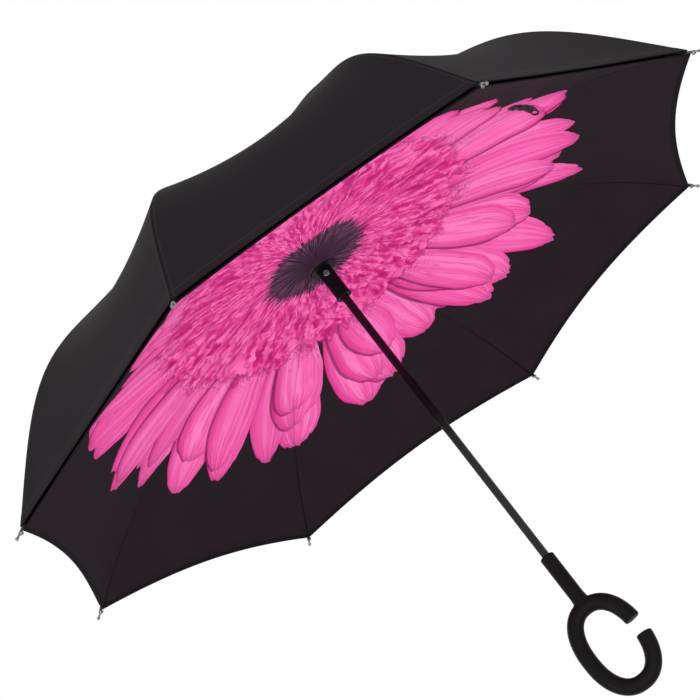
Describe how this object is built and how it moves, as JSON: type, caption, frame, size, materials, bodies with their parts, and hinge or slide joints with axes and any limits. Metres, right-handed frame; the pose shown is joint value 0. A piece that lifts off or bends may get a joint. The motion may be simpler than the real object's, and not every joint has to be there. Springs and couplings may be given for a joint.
{
  "type": "inverted umbrella",
  "caption": "Inverted umbrella with two layers of cloth, folding rib sets, sliding runner with a release button, and an open C-shaped handle",
  "frame": {"origin": "middle of the handle's open loop, on the shaft's axis, where a hand or wrist holds it", "axes": "+Z along the shaft towards the canopy's cap; +X towards the mouth of the handle's loop; the release button faces -Y"},
  "size_m": [1.026, 1.026, 0.816],
  "materials": {
    "soft_grip": "matte soft-touch",
    "black_steel": "glossy black",
    "moulded_black": "satin moulded",
    "bright_wire": "drawn wire",
    "bright_tip": "bright",
    "dark_rib": "black coated",
    "grey_button": "satin",
    "black_cloth": "tight plain weave with a slight sheen",
    "printed_cloth": "black plain weave with a pink petal print in the middle",
    "black_tape": "woven tape"
  },
  "bodies": {
    "root": {"c_handle": "soft_grip", "shaft_tube": "black_steel", "crown": "moulded_black", "crown_wire": "bright_wire", "canopy_washer": "moulded_black", "top_cap": "moulded_black", "outer_canopy": "black_cloth"},
    "runner": {"runner": "moulded_black", "runner_wire": "bright_wire", "runner_rosette": "black_cloth", "button_spring": "bright_wire", "inner_canopy": "printed_cloth", "closing_strap": "black_tape"},
    "release_button": {"release_button": "grey_button"},
    "lower_arm_1": {"lower_arm_1": "dark_rib"},
    "lower_rib_1": {"lower_rib_1": "dark_rib", "rib_tip_1": "bright_tip"},
    "upper_rib_1": {"upper_rib_1": "dark_rib"},
    "upper_arm_1": {"upper_arm_1": "dark_rib"},
    "lower_arm_2": {"lower_arm_2": "dark_rib"},
    "lower_rib_2": {"lower_rib_2": "dark_rib", "rib_tip_2": "bright_tip"},
    "upper_rib_2": {"upper_rib_2": "dark_rib"},
    "upper_arm_2": {"upper_arm_2": "dark_rib"},
    "lower_arm_3": {"lower_arm_3": "dark_rib"},
    "lower_rib_3": {"lower_rib_3": "dark_rib", "rib_tip_3": "bright_tip"},
    "upper_rib_3": {"upper_rib_3": "dark_rib"},
    "upper_arm_3": {"upper_arm_3": "dark_rib"},
    "lower_arm_4": {"lower_arm_4": "dark_rib"},
    "lower_rib_4": {"lower_rib_4": "dark_rib", "rib_tip_4": "bright_tip"},
    "upper_rib_4": {"upper_rib_4": "dark_rib"},
    "upper_arm_4": {"upper_arm_4": "dark_rib"},
    "lower_arm_5": {"lower_arm_5": "dark_rib"},
    "lower_rib_5": {"lower_rib_5": "dark_rib", "rib_tip_5": "bright_tip"},
    "upper_rib_5": {"upper_rib_5": "dark_rib"},
    "upper_arm_5": {"upper_arm_5": "dark_rib"},
    "lower_arm_6": {"lower_arm_6": "dark_rib"},
    "lower_rib_6": {"lower_rib_6": "dark_rib", "rib_tip_6": "bright_tip"},
    "upper_rib_6": {"upper_rib_6": "dark_rib"},
    "upper_arm_6": {"upper_arm_6": "dark_rib"},
    "lower_arm_7": {"lower_arm_7": "dark_rib"},
    "lower_rib_7": {"lower_rib_7": "dark_rib", "rib_tip_7": "bright_tip"},
    "upper_rib_7": {"upper_rib_7": "dark_rib"},
    "upper_arm_7": {"upper_arm_7": "dark_rib"},
    "lower_arm_8": {"lower_arm_8": "dark_rib"},
    "lower_rib_8": {"lower_rib_8": "dark_rib", "rib_tip_8": "bright_tip"},
    "upper_rib_8": {"upper_rib_8": "dark_rib"},
    "upper_arm_8": {"upper_arm_8": "dark_rib"}
  },
  "joints": [
    {"name": "runner_slide", "type": "slide", "parent": "root", "child": "runner", "axis": [0, 0, -1], "range_m": [0, 0.33], "deforming": ["outer_canopy", "inner_canopy", "closing_strap"]},
    {"name": "button_press", "type": "slide", "parent": "runner", "child": "release_button", "axis": [0, 1, 0], "range_m": [0, 0.0015], "stiffness_N_per_m": 400, "springref_m": -0.002, "deforming": ["button_spring"]},
    {"name": "lower_arm_hinge_1", "type": "hinge", "parent": "runner", "child": "lower_arm_1", "pos_m": [0.01345, -0.00389, 0.6105], "axis": [-0.2782, -0.9605, 0], "range_deg": [-0.1, 87.84]},
    {"name": "lower_rib_hinge_1", "type": "hinge", "parent": "lower_arm_1", "child": "lower_rib_1", "pos_m": [0.24974, -0.07232, 0.59008], "axis": [-0.2782, -0.9605, 0], "range_deg": [-0.1, 19.16]},
    {"name": "upper_rib_hinge_1", "type": "hinge", "parent": "lower_rib_1", "child": "upper_rib_1", "pos_m": [0.48358, -0.14003, 0.49267], "axis": [-0.2782, -0.9605, 0], "range_deg": [-0.1, 15.26]},
    {"name": "upper_arm_hinge_1", "type": "hinge", "parent": "root", "child": "upper_arm_1", "pos_m": [0.01153, -0.00334, 0.7248], "axis": [0.2782, 0.9605, 0], "range_deg": [-0.1, 78.92]},
    {"name": "lower_arm_hinge_2", "type": "hinge", "parent": "runner", "child": "lower_arm_2", "pos_m": [0.01226, 0.00675, 0.6105], "axis": [0.4825, -0.8759, 0], "range_deg": [-0.1, 87.84]},
    {"name": "lower_rib_hinge_2", "type": "hinge", "parent": "lower_arm_2", "child": "lower_rib_2", "pos_m": [0.22773, 0.12546, 0.59008], "axis": [0.4825, -0.8759, 0], "range_deg": [-0.1, 19.16]},
    {"name": "upper_rib_hinge_2", "type": "hinge", "parent": "lower_rib_2", "child": "upper_rib_2", "pos_m": [0.44096, 0.24292, 0.49267], "axis": [0.4825, -0.8759, 0], "range_deg": [-0.1, 15.26]},
    {"name": "upper_arm_hinge_2", "type": "hinge", "parent": "root", "child": "upper_arm_2", "pos_m": [0.01051, 0.00579, 0.7248], "axis": [-0.4825, 0.8759, 0], "range_deg": [-0.1, 78.92]},
    {"name": "lower_arm_hinge_3", "type": "hinge", "parent": "runner", "child": "lower_arm_3", "pos_m": [0.00389, 0.01345, 0.6105], "axis": [0.9605, -0.2782, 0], "range_deg": [-0.1, 87.84]},
    {"name": "lower_rib_hinge_3", "type": "hinge", "parent": "lower_arm_3", "child": "lower_rib_3", "pos_m": [0.07232, 0.24974, 0.59008], "axis": [0.9605, -0.2782, 0], "range_deg": [-0.1, 19.16]},
    {"name": "upper_rib_hinge_3", "type": "hinge", "parent": "lower_rib_3", "child": "upper_rib_3", "pos_m": [0.14003, 0.48358, 0.49267], "axis": [0.9605, -0.2782, 0], "range_deg": [-0.1, 15.26]},
    {"name": "upper_arm_hinge_3", "type": "hinge", "parent": "root", "child": "upper_arm_3", "pos_m": [0.00334, 0.01153, 0.7248], "axis": [-0.9605, 0.2782, 0], "range_deg": [-0.1, 78.92]},
    {"name": "lower_arm_hinge_4", "type": "hinge", "parent": "runner", "child": "lower_arm_4", "pos_m": [-0.00675, 0.01226, 0.6105], "axis": [0.8759, 0.4825, 0], "range_deg": [-0.1, 87.84]},
    {"name": "lower_rib_hinge_4", "type": "hinge", "parent": "lower_arm_4", "child": "lower_rib_4", "pos_m": [-0.12546, 0.22773, 0.59008], "axis": [0.8759, 0.4825, 0], "range_deg": [-0.1, 19.16]},
    {"name": "upper_rib_hinge_4", "type": "hinge", "parent": "lower_rib_4", "child": "upper_rib_4", "pos_m": [-0.24292, 0.44096, 0.49267], "axis": [0.8759, 0.4825, 0], "range_deg": [-0.1, 15.26]},
    {"name": "upper_arm_hinge_4", "type": "hinge", "parent": "root", "child": "upper_arm_4", "pos_m": [-0.00579, 0.01051, 0.7248], "axis": [-0.8759, -0.4825, 0], "range_deg": [-0.1, 78.92]},
    {"name": "lower_arm_hinge_5", "type": "hinge", "parent": "runner", "child": "lower_arm_5", "pos_m": [-0.01345, 0.00389, 0.6105], "axis": [0.2782, 0.9605, 0], "range_deg": [-0.1, 87.84]},
    {"name": "lower_rib_hinge_5", "type": "hinge", "parent": "lower_arm_5", "child": "lower_rib_5", "pos_m": [-0.24974, 0.07232, 0.59008], "axis": [0.2782, 0.9605, 0], "range_deg": [-0.1, 19.16]},
    {"name": "upper_rib_hinge_5", "type": "hinge", "parent": "lower_rib_5", "child": "upper_rib_5", "pos_m": [-0.48358, 0.14003, 0.49267], "axis": [0.2782, 0.9605, 0], "range_deg": [-0.1, 15.26]},
    {"name": "upper_arm_hinge_5", "type": "hinge", "parent": "root", "child": "upper_arm_5", "pos_m": [-0.01153, 0.00334, 0.7248], "axis": [-0.2782, -0.9605, 0], "range_deg": [-0.1, 78.92]},
    {"name": "lower_arm_hinge_6", "type": "hinge", "parent": "runner", "child": "lower_arm_6", "pos_m": [-0.01226, -0.00675, 0.6105], "axis": [-0.4825, 0.8759, 0], "range_deg": [-0.1, 87.84]},
    {"name": "lower_rib_hinge_6", "type": "hinge", "parent": "lower_arm_6", "child": "lower_rib_6", "pos_m": [-0.22773, -0.12546, 0.59008], "axis": [-0.4825, 0.8759, 0], "range_deg": [-0.1, 19.16]},
    {"name": "upper_rib_hinge_6", "type": "hinge", "parent": "lower_rib_6", "child": "upper_rib_6", "pos_m": [-0.44096, -0.24292, 0.49267], "axis": [-0.4825, 0.8759, 0], "range_deg": [-0.1, 15.26]},
    {"name": "upper_arm_hinge_6", "type": "hinge", "parent": "root", "child": "upper_arm_6", "pos_m": [-0.01051, -0.00579, 0.7248], "axis": [0.4825, -0.8759, 0], "range_deg": [-0.1, 78.92]},
    {"name": "lower_arm_hinge_7", "type": "hinge", "parent": "runner", "child": "lower_arm_7", "pos_m": [-0.00389, -0.01345, 0.6105], "axis": [-0.9605, 0.2782, 0], "range_deg": [-0.1, 87.84]},
    {"name": "lower_rib_hinge_7", "type": "hinge", "parent": "lower_arm_7", "child": "lower_rib_7", "pos_m": [-0.07232, -0.24974, 0.59008], "axis": [-0.9605, 0.2782, 0], "range_deg": [-0.1, 19.16]},
    {"name": "upper_rib_hinge_7", "type": "hinge", "parent": "lower_rib_7", "child": "upper_rib_7", "pos_m": [-0.14003, -0.48358, 0.49267], "axis": [-0.9605, 0.2782, 0], "range_deg": [-0.1, 15.26]},
    {"name": "upper_arm_hinge_7", "type": "hinge", "parent": "root", "child": "upper_arm_7", "pos_m": [-0.00334, -0.01153, 0.7248], "axis": [0.9605, -0.2782, 0], "range_deg": [-0.1, 78.92]},
    {"name": "lower_arm_hinge_8", "type": "hinge", "parent": "runner", "child": "lower_arm_8", "pos_m": [0.00675, -0.01226, 0.6105], "axis": [-0.8759, -0.4825, 0], "range_deg": [-0.1, 87.84]},
    {"name": "lower_rib_hinge_8", "type": "hinge", "parent": "lower_arm_8", "child": "lower_rib_8", "pos_m": [0.12546, -0.22773, 0.59008], "axis": [-0.8759, -0.4825, 0], "range_deg": [-0.1, 19.16]},
    {"name": "upper_rib_hinge_8", "type": "hinge", "parent": "lower_rib_8", "child": "upper_rib_8", "pos_m": [0.24292, -0.44096, 0.49267], "axis": [-0.8759, -0.4825, 0], "range_deg": [-0.1, 15.26]},
    {"name": "upper_arm_hinge_8", "type": "hinge", "parent": "root", "child": "upper_arm_8", "pos_m": [0.00579, -0.01051, 0.7248], "axis": [0.8759, 0.4825, 0], "range_deg": [-0.1, 78.92]}
  ],
  "couplings": [
    {"joint": "lower_arm_hinge_1", "follows": "runner_slide", "rad_per_m": 4.6408},
    {"joint": "lower_rib_hinge_1", "follows": "runner_slide", "rad_per_m": 1.0083},
    {"joint": "upper_rib_hinge_1", "follows": "runner_slide", "rad_per_m": 0.80177},
    {"joint": "upper_arm_hinge_1", "follows": "runner_slide", "rad_per_m": 4.1687},
    {"joint": "lower_arm_hinge_2", "follows": "runner_slide", "rad_per_m": 4.6408},
    {"joint": "lower_rib_hinge_2", "follows": "runner_slide", "rad_per_m": 1.0083},
    {"joint": "upper_rib_hinge_2", "follows": "runner_slide", "rad_per_m": 0.80177},
    {"joint": "upper_arm_hinge_2", "follows": "runner_slide", "rad_per_m": 4.1687},
    {"joint": "lower_arm_hinge_3", "follows": "runner_slide", "rad_per_m": 4.6408},
    {"joint": "lower_rib_hinge_3", "follows": "runner_slide", "rad_per_m": 1.0083},
    {"joint": "upper_rib_hinge_3", "follows": "runner_slide", "rad_per_m": 0.80177},
    {"joint": "upper_arm_hinge_3", "follows": "runner_slide", "rad_per_m": 4.1687},
    {"joint": "lower_arm_hinge_4", "follows": "runner_slide", "rad_per_m": 4.6408},
    {"joint": "lower_rib_hinge_4", "follows": "runner_slide", "rad_per_m": 1.0083},
    {"joint": "upper_rib_hinge_4", "follows": "runner_slide", "rad_per_m": 0.80177},
    {"joint": "upper_arm_hinge_4", "follows": "runner_slide", "rad_per_m": 4.1687},
    {"joint": "lower_arm_hinge_5", "follows": "runner_slide", "rad_per_m": 4.6408},
    {"joint": "lower_rib_hinge_5", "follows": "runner_slide", "rad_per_m": 1.0083},
    {"joint": "upper_rib_hinge_5", "follows": "runner_slide", "rad_per_m": 0.80177},
    {"joint": "upper_arm_hinge_5", "follows": "runner_slide", "rad_per_m": 4.1687},
    {"joint": "lower_arm_hinge_6", "follows": "runner_slide", "rad_per_m": 4.6408},
    {"joint": "lower_rib_hinge_6", "follows": "runner_slide", "rad_per_m": 1.0083},
    {"joint": "upper_rib_hinge_6", "follows": "runner_slide", "rad_per_m": 0.80177},
    {"joint": "upper_arm_hinge_6", "follows": "runner_slide", "rad_per_m": 4.1687},
    {"joint": "lower_arm_hinge_7", "follows": "runner_slide", "rad_per_m": 4.6408},
    {"joint": "lower_rib_hinge_7", "follows": "runner_slide", "rad_per_m": 1.0083},
    {"joint": "upper_rib_hinge_7", "follows": "runner_slide", "rad_per_m": 0.80177},
    {"joint": "upper_arm_hinge_7", "follows": "runner_slide", "rad_per_m": 4.1687},
    {"joint": "lower_arm_hinge_8", "follows": "runner_slide", "rad_per_m": 4.6408},
    {"joint": "lower_rib_hinge_8", "follows": "runner_slide", "rad_per_m": 1.0083},
    {"joint": "upper_rib_hinge_8", "follows": "runner_slide", "rad_per_m": 0.80177},
    {"joint": "upper_arm_hinge_8", "follows": "runner_slide", "rad_per_m": 4.1687}
  ]
}
